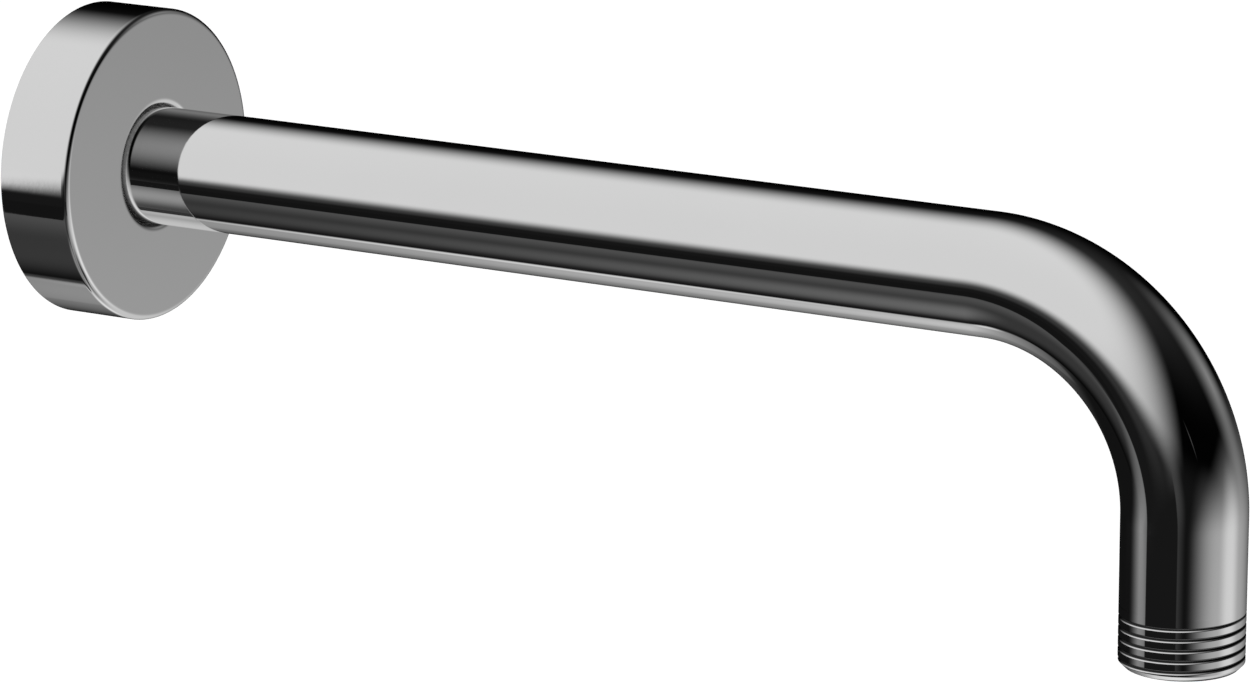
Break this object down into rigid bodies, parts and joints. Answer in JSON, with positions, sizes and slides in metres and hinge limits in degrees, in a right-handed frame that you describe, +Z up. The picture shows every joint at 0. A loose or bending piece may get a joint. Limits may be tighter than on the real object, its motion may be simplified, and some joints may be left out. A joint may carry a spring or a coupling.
{
  "type": "shower arm",
  "caption": "Wall-mounted shower arm: a bent chromed pipe with a threaded outlet and a round sliding wall flange.",
  "frame": {"origin": "point where the inlet's axis meets the finished wall", "axes": "+X straight out of the wall along the arm, +Z up, outlet facing -Z, symmetric about the plane Y = 0"},
  "size_m": [0.24, 0.056, 0.0895],
  "materials": {
    "pipe_chrome": "polished chrome plate on brass",
    "flange_chrome": "polished chrome plate on brass",
    "o_ring_rubber": "smooth black rubber",
    "seal_rubber": "soft grey cellular rubber"
  },
  "bodies": {
    "arm": {"arm_pipe": "pipe_chrome"},
    "flange": {"wall_flange": "flange_chrome", "flange_o_ring": "o_ring_rubber", "flange_wall_seal": "seal_rubber"}
  },
  "joints": [
    {"name": "flange_slide", "type": "slide", "parent": "arm", "child": "flange", "axis": [1, 0, 0], "range_m": [0, 0.167]}
  ]
}
